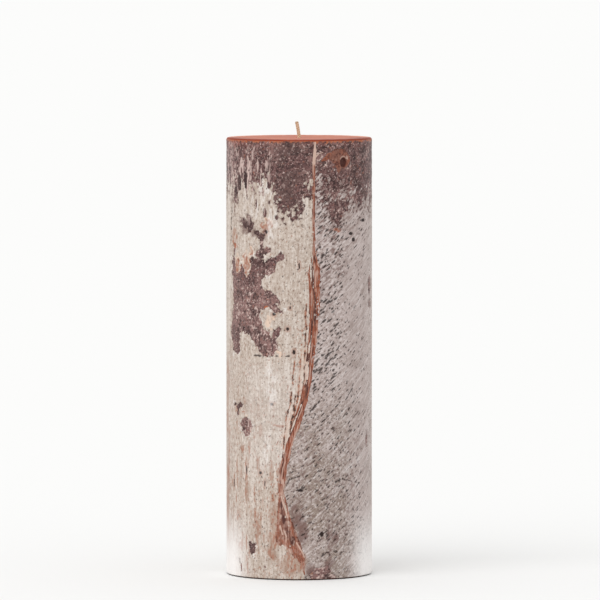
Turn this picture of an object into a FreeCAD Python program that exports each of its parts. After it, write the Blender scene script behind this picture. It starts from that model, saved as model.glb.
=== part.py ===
import FreeCAD, Part
import Sketcher
import os

# A rustic pillar candle, 70 mm across and 210 mm tall, in millimetres.
# +Z is up, the origin is the middle of the flat base, and -Y is the front, where the long vein runs.

doc = FreeCAD.newDocument("RusticPillarCandle")

driving = {
    "candleHeight": 210.0,
    "coreRadius": 34.0,
    "brownRadius": 34.45,    # outside of the brown coat where the pale coat covers it
    "coatRadius": 35.0,      # outside of the pale coat and of the bare brown band under the rim
    "veinRadius": 35.15,     # the veins stand a little proud of the coats
    "knotRadius": 35.3,
    "rimBevel": 0.8,
    "coatFoot": 0.6,         # the coats stop this far above the base
    "brownTop": 208.9,
    "bandFoot": 191.0,       # the bare brown band runs from here to the brown coat's top
    "veinBreak": 41.0,       # the long vein ends and the forked one begins
    "wickRadius": 0.85,
    "wickFree": 7.7,         # wick above the top face
    "wickStraight": 4.0,     # upright stretch above the top face, before it leans
    "wickLean": 14.0,        # how far the free end leans to the left, in degrees
    "clipRadius": 10.0,
    "clipHeight": 1.0,       # the clip's disc lies this far above the base
    "clipGauge": 0.3,
    "neckRadius": 1.5,
    "neckTop": 5.3,
    "fillRadius": 22.0,
    "fillDepth": 6.0,
    "knotPlane": 24.0,       # the knot's flat back, behind the front of the candle
    "knotWide": 13.0,
    "knotTall": 10.6,
    "knotAcross": 17.8,      # the knot's middle, to the right of the axis
    "knotUp": 200.0,
    "holeFloor": 27.0,
    "holeWide": 3.4,
    "holeTall": 4.6,
    "holeAcross": 20.6,
    "holeUp": 199.4,
    "leftSpan": 135.0,       # how far round each pale coat is laid before its seam is cut, in degrees
    "rightSpan": 145.0,
    "backSpan": 150.0,
    "outside": 90.0,         # a radius well clear of the candle, for cutting tools
    "reach": 40.0,           # depth of a cut that goes right through the front wall
}

sheet = doc.addObject("Spreadsheet::Sheet", "Dimensions")
for row, (alias, value) in enumerate(driving.items(), start=1):
    sheet.set(f"A{row}", alias)
    sheet.set(f"B{row}", str(value))
    sheet.setAlias(f"B{row}", alias)
doc.recompute()

# Angles round the candle are measured from the front, with the right-hand side positive.
leftMiddle = -37.5
rightMiddle = 32.5
backMiddle = 180.0

# Both seams of the crack as seen from the front, (across, up), from above the rim to the base.
# The long vein and the fork fill the room between them.
leftSeam = [
    (7.0, 212), (6.1, 200), (6.0, 182), (6.0, 165), (6.2, 152), (6.1, 135), (4.8, 119), (3.3, 100),
    (0.9, 81), (-3.4, 75), (-7.3, 62), (-8.8, 52), (-10.4, 41), (-9.8, 35), (-10.3, 27), (-11.4, 14),
]
forkInside = [(-11.4, 14), (-6.8, 18.5), (-3.2, 12.5), (1.3, 5), (3.4, -2)]
rightSeam = [
    (8.6, 212), (7.4, 200), (7.2, 182), (7.3, 169), (9.4, 158), (9.6, 140), (8.3, 119), (6.7, 100),
    (3.3, 81), (0.9, 73), (-4.0, 62), (-5.4, 52), (-7.4, 41), (-3.8, 26.4), (0.9, 16.8), (4.2, 7.2),
    (5.9, -2),
]

# The worn place in the left coat where the brown coat shows, as seen from the front.
wornPlace = [
    (-31.4, 153), (-26.8, 156.5), (-20.6, 158), (-17.6, 164), (-16.4, 157), (-9.2, 154.5), (-8.8, 150),
    (-14.2, 146.5), (-17.0, 139.5), (-12.0, 137), (-10.2, 128), (-16.6, 124.5), (-10.4, 116),
    (-10.8, 107), (-23.9, 106.7), (-25.2, 117), (-29.7, 117), (-30.9, 104), (-32.6, 118), (-32.3, 140),
]

# Where the pale coats stop below the rim: wavy edges, seen from the front or from behind.
leftEdge = [
    (-40, 186), (-30, 188.5), (-22, 186), (-14, 189), (-9.5, 184), (-6.5, 174), (-1.5, 173), (1.5, 184),
    (5, 188), (12, 187),
]
rightEdge = [
    (-10, 188), (0, 188), (8, 187), (12.5, 178), (16.5, 169), (20, 174), (26, 183), (33, 181), (40, 184),
]
backEdge = [
    (-40, 185), (-27, 187), (-18, 176), (-9, 173), (0, 186), (11, 188), (19, 179), (30, 185), (40, 184),
]


def value(alias):
    return sheet.get(alias)


def newBody(label):
    body = doc.addObject("PartDesign::Body", label)
    body.Label = label
    return body


def originPlane(body, role):
    return next(feature for feature in body.Origin.OriginFeatures if feature.Role == role)


def newSketch(body, name, role="XZ_Plane", turn=0.0):
    """A sketch on one of the body's own planes; turn swings an upright one round the candle's axis."""
    sketch = body.newObject("Sketcher::SketchObject", body.Label + "_" + name)
    sketch.AttachmentSupport = [(originPlane(body, role), "")]
    sketch.MapMode = "FlatFace"
    if turn:
        swing = FreeCAD.Rotation(FreeCAD.Vector(0, 1, 0), turn)
        sketch.AttachmentOffset = FreeCAD.Placement(FreeCAD.Vector(), swing)
    return sketch


def bindOffset(sketch, expression):
    """Moves the sketch's plane along its own normal, which is -Y for an upright sketch."""
    sketch.setExpression("AttachmentOffset.Base.z", expression)


def bindPoint(sketch, line, across, up):
    """Ties a line's start to the sheet: each of across and up is an expression, or None on an axis."""
    for kind, axis, expression in (("DistanceX", -2, across), ("DistanceY", -1, up)):
        if expression is None:
            sketch.addConstraint(Sketcher.Constraint("PointOnObject", line, 1, axis))
            continue
        index = sketch.addConstraint(Sketcher.Constraint(kind, -1, 1, line, 1, 1.0))
        sketch.setExpression(f"Constraints[{index}]", expression)


def profile(sketch, corners):
    """A closed outline of straight lines whose corners are pairs of expressions in the sheet's names."""
    count = len(corners)
    points = [FreeCAD.Vector(5 + i % 3, i, 0) for i in range(count)]
    for i in range(count):
        sketch.addGeometry(Part.LineSegment(points[i], points[(i + 1) % count]), False)
    for i in range(count):
        sketch.addConstraint(Sketcher.Constraint("Coincident", i, 2, (i + 1) % count, 1))
    for i, (across, up) in enumerate(corners):
        bindPoint(sketch, i, fromSheet(across), fromSheet(up))
    return sketch


def fromSheet(expression):
    """Puts the sheet's name before each alias of a short sum such as coreRadius - rimBevel."""
    if expression is None:
        return None
    words = expression.split()
    return " ".join("Dimensions." + word if word in driving else word for word in words)


def ring(inner, outer, low, high):
    return [(inner, low), (outer, low), (outer, high), (inner, high)]


def revolve(body, name, corners, cut=False, turn=0.0, span=None):
    """Turns a profile about the candle's axis: the whole way, or over span degrees, as wax or as a cut."""
    sketch = profile(newSketch(body, name + "_profile", turn=turn), corners)
    kind = "PartDesign::Groove" if cut else "PartDesign::Revolution"
    feature = body.newObject(kind, body.Label + "_" + name)
    feature.Profile = sketch
    feature.ReferenceAxis = (sketch, ["V_Axis"])
    feature.Angle = 360.0
    if span:
        feature.Midplane = True
        feature.setExpression("Angle", fromSheet(span))
    doc.recompute()
    return feature


def outline(sketch, edges):
    """A closed outline of edges, each a smooth curve through its points, or a line when it has two."""
    for points in edges:
        vectors = [FreeCAD.Vector(across, up, 0) for across, up in points]
        if len(vectors) == 2:
            sketch.addGeometry(Part.LineSegment(*vectors), False)
            continue
        curve = Part.BSplineCurve()
        curve.interpolate(vectors)
        sketch.addGeometry(curve, False)
    return sketch


def cutThrough(body, name, sketch, both=False):
    """Cuts a sketch's outline forwards out of the body, or both ways from the sketch's plane."""
    before = body.Shape.Volume
    pocket = body.newObject("PartDesign::Pocket", body.Label + "_" + name)
    pocket.Profile = sketch
    if both:
        pocket.Midplane = True
        pocket.setExpression("Length", "Dimensions.reach * 2")
    else:
        pocket.Reversed = True
        pocket.setExpression("Length", "Dimensions.reach")
    doc.recompute()
    assert body.Shape.Volume < before - 1.0, body.Label + " " + name + " cut nothing"
    return pocket


def cutOutline(body, name, edges, both=False):
    """Cuts an outline drawn on the plane through the axis out of the front wall, or out of both walls."""
    return cutThrough(body, name, outline(newSketch(body, name + "_outline"), edges), both)


def ellipseSketch(body, name, depth, across, up, wide, tall):
    """An ellipse on an upright plane in front of the axis; every size is an alias of the sheet."""
    sketch = newSketch(body, name)
    bindOffset(sketch, "Dimensions." + depth)
    centre = FreeCAD.Vector(value(across), value(up), 0)
    halfWide = FreeCAD.Vector(value(wide) / 2, 0, 0)
    halfTall = FreeCAD.Vector(0, value(tall) / 2, 0)
    longer, shorter = (halfWide, halfTall) if halfWide.Length >= halfTall.Length else (halfTall, halfWide)
    sketch.addGeometry(Part.Ellipse(centre + longer, centre + shorter, centre), False)
    return sketch


def closeAround(curve, side):
    """The lines that close a seam's curve on one side, well outside the coat."""
    return [
        curve,
        [curve[-1], (side, curve[-1][1])],
        [(side, curve[-1][1]), (side, curve[0][1])],
        [(side, curve[0][1]), curve[0]],
    ]


def above(edge):
    """The region above a wavy edge, up to the candle's top."""
    left, right, top = edge[0][0], edge[-1][0], value("candleHeight")
    return [edge, [edge[-1], (right, top)], [(right, top), (left, top)], [(left, top), edge[0]]]


def knotSketch(body):
    return ellipseSketch(body, "knot_outline", "knotPlane", "knotAcross", "knotUp", "knotWide", "knotTall")


def makeCore():
    """The poured pillar: bore for the wick, recess for the second pour, bevelled rim, room for the knot."""
    body = newBody("wax_core")
    revolve(body, "pillar", [
        ("wickRadius", "fillDepth"), ("fillRadius", "fillDepth"), ("fillRadius", None),
        ("coreRadius", None), ("coreRadius", "candleHeight - rimBevel"),
        ("coreRadius - rimBevel", "candleHeight"), ("wickRadius", "candleHeight"),
    ])
    cutThrough(body, "knot_socket", knotSketch(body))
    return body


def makeBrownCoat():
    """The brown coat: a thicker bare band under the rim, slit for the vein, over a thin all-round coat."""
    body = newBody("brown_coat")
    revolve(body, "band", ring("brownRadius", "coatRadius", "bandFoot", "brownTop"))
    cutOutline(body, "slit", veinRegion(value("bandFoot") - 2))
    revolve(body, "wall", ring("coreRadius", "brownRadius", "coatFoot", "brownTop"))
    cutThrough(body, "knot_socket", knotSketch(body))
    return body


def seamPart(seam, top, foot):
    """The points of a seam between two heights, with its ends put exactly at those heights."""
    def across(up):
        for (x1, z1), (x2, z2) in zip(seam, seam[1:]):
            if z2 <= up <= z1:
                return x1 + (x2 - x1) * (z1 - up) / (z1 - z2)
        raise ValueError("the seam doesn't reach this height")

    inside = [point for point in seam if foot < point[1] < top]
    return [(across(top), top)] + inside + [(across(foot), foot)]


def veinRegion(foot):
    """The strip between the two seams, from above the rim down to foot."""
    top = leftSeam[0][1]
    left = seamPart(leftSeam, top, foot)
    right = seamPart(rightSeam, top, foot)
    return [left, [left[-1], right[-1]], right[::-1], [right[0], left[0]]]


def pad(body, name, sketch):
    """Raises a block forwards from a sketch to well outside the candle."""
    feature = body.newObject("PartDesign::Pad", body.Label + "_" + name)
    feature.Profile = sketch
    feature.setExpression("Length", "Dimensions.reach")
    doc.recompute()
    return feature


def trimToWall(body, inner, outer, low, high):
    """Turns a block cut to a front outline into a piece of wall between two radii and two heights."""
    revolve(body, "inside", ring(None, inner, "0 - reach", "candleHeight + reach"), cut=True)
    revolve(body, "outside", ring(outer, "outside", "0 - reach", "candleHeight + reach"), cut=True)
    if low:
        revolve(body, "foot", ring(None, "outside", "0 - reach", low), cut=True)
    if high:
        revolve(body, "head", ring(None, "outside", high, "candleHeight + reach"), cut=True)


def makeLongVein():
    body = newBody("long_vein")
    pad(body, "strip", outline(newSketch(body, "strip_outline"), veinRegion(value("veinBreak"))))
    trimToWall(body, "brownRadius", "veinRadius", None, "brownTop")
    return body


def makeForkedVein():
    body = newBody("forked_vein")
    top = value("veinBreak")
    left = seamPart(leftSeam, top, leftSeam[-1][1])
    right = seamPart(rightSeam, top, rightSeam[-1][1])
    region = [left, forkInside, [forkInside[-1], right[-1]], right[::-1], [right[0], left[0]]]
    pad(body, "fork", outline(newSketch(body, "fork_outline"), region))
    trimToWall(body, "brownRadius", "veinRadius", "coatFoot", None)
    return body


def coatWall(label, middle, span):
    """A stretch of the pale coat, span degrees wide about its middle angle."""
    body = newBody(label)
    revolve(
        body, "wall", ring("brownRadius", "coatRadius", "coatFoot", "bandFoot"),
        turn=middle - 90.0, span=span,
    )
    return body


def makeLeftCoat():
    """The cream coat left of the crack, with its seam, its wavy top and its worn place."""
    body = coatWall("pale_coat_left", leftMiddle, "leftSpan")
    foot = forkInside[-1]
    side = value("coatRadius") + 1
    upper = leftSeam[0]
    cutOutline(body, "seam", [
        leftSeam, forkInside, [foot, (side, foot[1])], [(side, foot[1]), (side, upper[1])],
        [(side, upper[1]), upper],
    ])
    cutOutline(body, "top_edge", above(leftEdge), both=True)
    cutOutline(body, "worn_place", list(zip(wornPlace, wornPlace[1:] + wornPlace[:1])))
    return body


def makeRightCoat():
    """The greyer coat right of the crack."""
    body = coatWall("pale_coat_right", rightMiddle, "rightSpan")
    cutOutline(body, "seam", closeAround(rightSeam, -value("coatRadius") - 1))
    cutOutline(body, "top_edge", above(rightEdge), both=True)
    return body


def makeBackCoat():
    body = coatWall("pale_coat_back", backMiddle, "backSpan")
    cutOutline(body, "top_edge", above(backEdge), both=True)
    return body


def makeKnot():
    """The knot: a plug through the brown coat into the core, with a blind hole in its face."""
    body = newBody("knot")
    pad(body, "plug", knotSketch(body))
    revolve(body, "face", ring("knotRadius", "outside", "0 - reach", "candleHeight + reach"), cut=True)
    hole = ellipseSketch(body, "hole_outline", "holeFloor", "holeAcross", "holeUp", "holeWide", "holeTall")
    cutThrough(body, "hole", hole)
    return body


def makeWick():
    """The wick: a round cord from the clip up through the core, leaning to the left at its free end."""
    body = newBody("wick")
    section = newSketch(body, "section", role="XY_Plane")
    bindOffset(section, "Dimensions.clipHeight")
    section.addGeometry(Part.Circle(FreeCAD.Vector(), FreeCAD.Vector(0, 0, 1), value("wickRadius")), False)
    section.addConstraint(Sketcher.Constraint("Coincident", 0, 3, -1, 1))
    size = section.addConstraint(Sketcher.Constraint("Radius", 0, value("wickRadius")))
    section.setExpression(f"Constraints[{size}]", "Dimensions.wickRadius")
    cord = body.newObject("PartDesign::Pad", "wick_cord")
    cord.Profile = section
    cord.setExpression(
        "Length", "Dimensions.candleHeight + Dimensions.wickStraight - Dimensions.clipHeight"
    )
    doc.recompute()
    # The leaning tip is revolved about an axis that leans with it, through the top of the cord.
    tip = newSketch(body, "tip_profile")
    lean = FreeCAD.Rotation(FreeCAD.Vector(0, 0, 1), value("wickLean"))
    tip.AttachmentOffset = FreeCAD.Placement(FreeCAD.Vector(), lean)
    bindOffset(tip, "0")
    tip.setExpression(
        "AttachmentOffset.Base.y", "Dimensions.candleHeight + Dimensions.wickStraight"
    )
    profile(tip, [
        (None, "0 - wickRadius / 2"), ("wickRadius", "0 - wickRadius / 2"),
        ("wickRadius", "wickFree - wickStraight - wickRadius / 2"),
        ("wickRadius / 2", "wickFree - wickStraight"), (None, "wickFree - wickStraight"),
    ])
    free = body.newObject("PartDesign::Revolution", "wick_tip")
    free.Profile = tip
    free.ReferenceAxis = (tip, ["V_Axis"])
    free.Angle = 360.0
    doc.recompute()
    return body


def makeClip():
    """The wick's clip: a thin steel disc with a neck crimped round the wick."""
    body = newBody("wick_clip")
    revolve(body, "disc_and_neck", [
        ("wickRadius", "clipHeight"), ("clipRadius", "clipHeight"),
        ("clipRadius", "clipHeight + clipGauge"), ("neckRadius", "clipHeight + clipGauge"),
        ("neckRadius", "neckTop"), ("wickRadius", "neckTop"),
    ])
    return body


def makeBaseFill():
    """The second pour: it closes the base over the clip and grips the clip's neck and the wick."""
    body = newBody("base_fill")
    revolve(body, "pour", [
        (None, None), ("fillRadius", None), ("fillRadius", "fillDepth"), ("wickRadius", "fillDepth"),
        ("wickRadius", "neckTop"), ("neckRadius", "neckTop"),
        ("neckRadius", "clipHeight + clipGauge"), ("clipRadius", "clipHeight + clipGauge"),
        ("clipRadius", "clipHeight"), (None, "clipHeight"),
    ])
    return body


pieces = [
    makeCore(), makeBrownCoat(), makeLeftCoat(), makeRightCoat(), makeBackCoat(), makeLongVein(),
    makeForkedVein(), makeKnot(), makeWick(), makeClip(), makeBaseFill(),
]
doc.recompute()

for item in doc.Objects:
    assert "Invalid" not in item.State and "Error" not in item.State, item.Label + " failed"
for piece in pieces:
    assert not piece.Shape.isNull() and piece.Shape.isValid(), piece.Label + " has no valid shape"

os.makedirs("parts", exist_ok=True)
for piece in pieces:
    piece.Shape.exportStep("parts/" + piece.Label + ".step")
    print(piece.Label, "solids", len(piece.Shape.Solids), "volume", round(piece.Shape.Volume, 1))
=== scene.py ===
import bpy
import math
import numpy as np
from functools import partial, reduce
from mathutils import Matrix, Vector


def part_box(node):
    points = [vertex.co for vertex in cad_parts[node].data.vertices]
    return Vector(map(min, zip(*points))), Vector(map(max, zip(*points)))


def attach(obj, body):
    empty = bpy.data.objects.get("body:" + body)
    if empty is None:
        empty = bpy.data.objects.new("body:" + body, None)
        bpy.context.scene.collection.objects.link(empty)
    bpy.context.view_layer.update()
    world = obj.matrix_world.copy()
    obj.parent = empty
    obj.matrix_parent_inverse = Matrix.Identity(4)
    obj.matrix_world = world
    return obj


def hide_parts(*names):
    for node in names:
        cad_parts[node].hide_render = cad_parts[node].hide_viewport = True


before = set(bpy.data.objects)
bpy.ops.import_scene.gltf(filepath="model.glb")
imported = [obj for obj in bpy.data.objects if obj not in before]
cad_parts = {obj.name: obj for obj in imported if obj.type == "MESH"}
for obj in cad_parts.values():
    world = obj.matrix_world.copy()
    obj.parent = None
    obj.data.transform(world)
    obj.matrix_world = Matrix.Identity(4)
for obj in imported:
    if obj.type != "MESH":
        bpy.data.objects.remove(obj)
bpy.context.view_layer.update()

print("frame loaded")

# A rustic pillar candle. Shapes are worked out in millimetres on two parameters: turn, the angle in degrees
# round the candle from its front with the right-hand side positive, and up, the height above its base.


def boxMm(node):
    low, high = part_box(node)
    return Vector(low) * 1000, Vector(high) * 1000


coreHigh = boxMm("wax_core")[1]
brownLow, brownHigh = boxMm("brown_coat")
fillHigh = boxMm("base_fill")[1]
wickLow, wickHigh = boxMm("wick")
coreRadius = coreHigh.x              # 34 mm
coreTop = coreHigh.z                 # 210 mm
faceRadius = brownHigh.x             # 35 mm, the outside of the coats
coatFoot = brownLow.z                # the coats stop this far above the base
brownTop = brownHigh.z
wickRadius = wickHigh.y
arcPerDegree = math.pi * faceRadius / 180


# fields on the candle's side

def fade(t):
    # smooth step from 0 to 1, flat at both ends
    t = np.clip(t, 0, 1)
    return t * t * (3 - 2 * t)


def ramp(value, start, length):
    # smooth step from 0 at start to 1 after a further length, which is negative where the step falls
    return fade((value - start) / length)


def most(*fields):
    # the strongest of several fields at each point
    return reduce(np.maximum, fields)


def cloud(x, y, seed, around=256):
    # smooth noise from -1 to 1: random values at whole numbers, blended between them; x repeats after around
    table = np.random.default_rng(seed).random((around, 256)) * 2 - 1
    column, row = np.floor(x).astype(int), np.floor(y).astype(int)
    right, above = fade(x - column), fade(y - row)
    near, far = column % around, (column + 1) % around
    low, high = row % 256, (row + 1) % 256
    bottom = table[near, low] * (1 - right) + table[far, low] * right
    top = table[near, high] * (1 - right) + table[far, high] * right
    return bottom * (1 - above) + top * above


def grain(turn, up, wide, tall, seed, octaves=1):
    # noise that closes round the candle, in grains wide by tall mm; each further octave has half the size and
    # 0.6 of the strength
    total, weight = 0.0, 0.0
    for octave in range(octaves):
        around = max(4, round(360 * arcPerDegree / wide)) * 2 ** octave
        share = 0.6 ** octave
        grains = cloud(turn / 360 * around, up / tall * 2 ** octave, seed + 97 * octave, around)
        total = total + share * grains
        weight += share
    return total / weight


def slanted(turn, up, lean):
    # mm along and across a direction that leans from upright to the right by lean degrees
    arc, angle = turn * arcPerDegree, math.radians(lean)
    along = arc * math.sin(angle) + up * math.cos(angle)
    return along, arc * math.cos(angle) - up * math.sin(angle)


def slantGrain(turn, up, wide, tall, lean, seed):
    # noise in grains that lean to one side
    along, across = slanted(turn, up, lean)
    return cloud(across / wide, along / tall, seed)


def marks(turn, up, seed, pitch, length, width, lean, chance):
    # scattered oval marks, at most one in each cell of a slanted grid: 1 in the middle and 0 at the rim
    along, across = slanted(turn, up, lean)
    along, across = along / pitch[0], across / pitch[1]
    table = np.random.default_rng(seed).random((5, 128, 128))
    best = np.zeros(turn.shape)
    for stepAlong in (-1, 0, 1):
        for stepAcross in (-1, 0, 1):
            i = np.floor(along).astype(int) + stepAlong
            j = np.floor(across).astype(int) + stepAcross
            placeA, placeB, sizeA, sizeB, luck = table[:, i % 128, j % 128]
            halfLength = (length[0] + (length[1] - length[0]) * sizeA) / 2
            halfWidth = (width[0] + (width[1] - width[0]) * sizeB) / 2
            farAlong = (along - i - placeA) * pitch[0] / halfLength
            farAcross = (across - j - placeB) * pitch[1] / halfWidth
            mark = np.clip(1 - farAlong ** 2 - farAcross ** 2, 0, 1)
            best = most(best, np.where(luck < chance, mark, 0))
    return best


def spots(turn, up, places):
    # oval marks at (turn, up) with half width and half height in mm: 1 in the middle, 0 at the rim and beyond
    best = np.zeros(turn.shape)
    for middle, height, halfWide, halfTall in places:
        far = ((turn - middle) * arcPerDegree / halfWide) ** 2 + ((up - height) / halfTall) ** 2
        best = most(best, np.clip(1 - far, 0, 1))
    return best


def strand(turn, up, path):
    # mm inside a strand that follows (turn, up, half width mm) points, negative outside it
    best = np.full(turn.shape, -1e6)
    arc = turn * arcPerDegree
    for (a1, y1, w1), (a2, y2, w2) in zip(path, path[1:]):
        x1, x2 = a1 * arcPerDegree, a2 * arcPerDegree
        dx, dy = x2 - x1, y2 - y1
        t = np.clip(((arc - x1) * dx + (up - y1) * dy) / (dx * dx + dy * dy), 0, 1)
        best = most(best, w1 + (w2 - w1) * t - np.hypot(arc - x1 - t * dx, up - y1 - t * dy))
    return best


def strands(turn, up, paths):
    return np.max([strand(turn, up, path) for path in paths], axis=0)


def wandering(turn, up):
    # the same places pushed about by about 1 degree and 1 mm, so that an oval set on them comes out lumpy
    return turn + 3 * grain(turn, up, 2.2, 2.2, 85, 2), up + 2.2 * grain(turn, up, 2.2, 2.6, 86, 2)


def moved(paths, turnBy, upBy, flip=False, size=1.0):
    # the same strands elsewhere on the candle, about their own middle, mirrored or resized
    middle = np.mean([point[:2] for path in paths for point in path], axis=0)
    across = -size if flip else size
    return [
        [
            (turnBy + across * (turn - middle[0]), upBy + size * (up - middle[1]), size * wide)
            for turn, up, wide in path
        ]
        for path in paths
    ]


# meshes

def polar(turn, up, radius):
    # a point at an angle, a height and a radius; the front is towards -Y
    angle = np.radians(turn)
    return np.stack([radius * np.sin(angle), -radius * np.cos(angle), up + 0 * angle], axis=-1)


def makeMesh(name, points, faceSets, attributes):
    # points in mm; each face set is (array with one face a row, smooth or not)
    mesh = bpy.data.meshes.new(name)
    mesh.vertices.add(len(points))
    mesh.vertices.foreach_set("co", (points * 0.001).astype(np.float32).ravel())
    corners = np.concatenate([faces.ravel() for faces, smooth in faceSets])
    sizes = np.concatenate([np.full(len(faces), faces.shape[1]) for faces, smooth in faceSets])
    smooth = np.concatenate([np.full(len(faces), flag) for faces, flag in faceSets])
    mesh.loops.add(len(corners))
    mesh.loops.foreach_set("vertex_index", corners.astype(np.int32))
    mesh.polygons.add(len(sizes))
    mesh.polygons.foreach_set("loop_start", np.concatenate([[0], np.cumsum(sizes)[:-1]]).astype(np.int32))
    mesh.polygons.foreach_set("use_smooth", smooth)
    for label, values in attributes.items():
        kind = "FLOAT_VECTOR" if values.ndim == 2 else "FLOAT"
        made = mesh.attributes.new(label, kind, "POINT")
        made.data.foreach_set("vector" if values.ndim == 2 else "value", values.astype(np.float32).ravel())
    mesh.update(calc_edges=True)
    mesh.validate()
    piece = bpy.data.objects.new(name, mesh)
    bpy.context.scene.collection.objects.link(piece)
    return piece


def sheet(name, turn, up, outer, inner, step, closed, fields=None):
    # a closed sheet over a grid of turn and up (rows go up, columns go right): outer and inner are its radii,
    # and the hidden inner face has only every step-th column
    rows, columns = turn.shape
    innerTurn, innerUp, innerRadius = turn[:, ::step], up[:, ::step], inner[:, ::step]
    innerColumns = innerTurn.shape[1]
    points = np.concatenate([
        polar(turn, up, outer).reshape(-1, 3), polar(innerTurn, innerUp, innerRadius).reshape(-1, 3)
    ])
    o = np.arange(rows * columns).reshape(rows, columns)
    n = rows * columns + np.arange(rows * innerColumns).reshape(rows, innerColumns)
    if closed:
        o, n = np.hstack([o, o[:, :1]]), np.hstack([n, n[:, :1]])
    quads = np.stack([o[:-1, :-1], o[:-1, 1:], o[1:, 1:], o[1:, :-1]], -1).reshape(-1, 4)
    backs = np.stack([n[:-1, :-1], n[1:, :-1], n[1:, 1:], n[:-1, 1:]], -1).reshape(-1, 4)
    starts = np.arange(n.shape[1] - 1) * step
    fan = starts[:, None] + np.arange(step + 1)[None, :]
    foot = np.hstack([o[0][fan[:, ::-1]], n[0, :-1, None], n[0, 1:, None]])
    head = np.hstack([o[-1][fan], n[-1, 1:, None], n[-1, :-1, None]])
    faceSets = [(quads, True), (backs, True), (foot, False), (head, False)]
    if not closed:
        left = np.stack([o[:-1, 0], o[1:, 0], n[1:, 0], n[:-1, 0]], -1)
        right = np.stack([o[1:, -1], o[:-1, -1], n[:-1, -1], n[1:, -1]], -1)
        faceSets += [(left, False), (right, False)]
    attributes = {}
    for label, values in (fields or {}).items():
        attributes[label] = np.concatenate([values.ravel(), values[:, ::step].ravel()])
    wrap = np.stack([turn * arcPerDegree, up, 0 * up], -1) * 0.001
    attributes["wrap"] = np.concatenate([wrap.reshape(-1, 3), wrap[:, ::step].reshape(-1, 3)])
    return makeMesh(name, points, faceSets, attributes)


def tube(name, points, fields=None):
    # a skin over rings of points (rows by columns), with a fan onto a middle point at each end; the rings run
    # anticlockwise seen from the last one
    rows, columns, _ = points.shape
    o = np.arange(rows * columns).reshape(rows, columns)
    o = np.hstack([o, o[:, :1]])
    quads = np.stack([o[:-1, :-1], o[:-1, 1:], o[1:, 1:], o[1:, :-1]], -1).reshape(-1, 4)
    ends = np.array([[rows * columns], [rows * columns + 1]]) + np.zeros((1, columns), int)
    first = np.stack([ends[0], o[0, 1:], o[0, :-1]], -1)
    last = np.stack([ends[1], o[-1, :-1], o[-1, 1:]], -1)
    middles = np.stack([points[0].mean(axis=0), points[-1].mean(axis=0)])
    attributes = {}
    for label, values in (fields or {}).items():
        attributes[label] = np.concatenate([values.ravel(), [values[0, 0], values[-1, 0]]])
    allPoints = np.concatenate([points.reshape(-1, 3), middles])
    return makeMesh(name, allPoints, [(quads, True), (first, True), (last, True)], attributes)


# materials

def hexColour(text):
    # sRGB hex to the linear colour that the shader takes
    parts = [int(text[i:i + 2], 16) / 255 for i in (1, 3, 5)]
    return tuple(c / 12.92 if c <= 0.04045 else ((c + 0.055) / 1.055) ** 2.4 for c in parts) + (1.0,)


def add(tree, kind, links=None, out=0, **settings):
    # adds a node of a kind, sets its properties, fills its inputs with values or other nodes' outputs, and
    # gives back one of its outputs
    made = tree.nodes.new("ShaderNode" + kind)
    for label, setting in settings.items():
        setattr(made, label, setting)
    for socket, value in (links or {}).items():
        if isinstance(value, bpy.types.NodeSocket):
            tree.links.new(value, made.inputs[socket])
        else:
            made.inputs[socket].default_value = value
    return made.outputs[out]


def newFinish(name, roughness, ior=1.44, specular=0.25, sheen=0.15):
    # a material, its node tree and its shader, which every finish here starts from
    material = bpy.data.materials.new(name)
    material.use_nodes = True
    shader = material.node_tree.nodes["Principled BSDF"]
    shader.inputs["Roughness"].default_value = roughness
    shader.inputs["IOR"].default_value = ior
    shader.inputs["Specular IOR Level"].default_value = specular
    shader.inputs["Sheen Weight"].default_value = sheen
    shader.inputs["Sheen Roughness"].default_value = 0.3
    return material, material.node_tree, shader


def pattern(tree, source, size, stretch=1.0, lean=0.0, detail=2.0, rough=0.55):
    # noise with features of size mm, stretch times as long along a line that leans to the right from upright
    mapped = add(tree, "Mapping", {
        "Vector": source, "Rotation": (0, 0, -math.radians(lean)),
        "Scale": (size * 0.001, size * stretch * 0.001, size * 0.001),
    }, vector_type="TEXTURE")
    return add(tree, "TexNoise", {"Vector": mapped, "Scale": 1.0, "Detail": detail, "Roughness": rough})


def layered(tree, base, layers):
    # a base colour with others laid over it, each where its source goes from low to high, at most so strongly
    colour = hexColour(base)
    for over, source, low, high, share in layers:
        amount = add(tree, "MapRange", {
            "Value": source, "From Min": low, "From Max": high, "To Max": share,
        })
        colour = add(tree, "Mix", {0: amount, 6: colour, 7: hexColour(over)}, out=2, data_type="RGBA")
    return colour


def dress(tree, shader, colour, height, strength, roughPattern, roughLow, roughHigh):
    # colour, fine relief 0.1 mm deep and a roughness that follows a pattern
    tree.links.new(colour, shader.inputs["Base Color"])
    bump = add(tree, "Bump", {"Strength": strength, "Distance": 0.0001, "Height": height})
    tree.links.new(bump, shader.inputs["Normal"])
    rough = add(tree, "MapRange", {
        "Value": roughPattern, "From Min": 0.3, "From Max": 0.7, "To Min": roughLow, "To Max": roughHigh,
    })
    tree.links.new(rough, shader.inputs["Roughness"])


def dressPiece(piece, nodes, material):
    # the lines that every new piece needs
    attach(piece, "root")
    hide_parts(*nodes)
    piece.data.materials.append(material)
    print(piece.name, len(piece.data.polygons), "faces")
    return piece


# what the surface shows, shared by the coats, the veins and the knot

# Places are given in degrees and millimetres. A worn place is a few strands of (turn, up, half width) points
# or ovals of (turn, up, half width, half height), and noise frays its edge.

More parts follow.
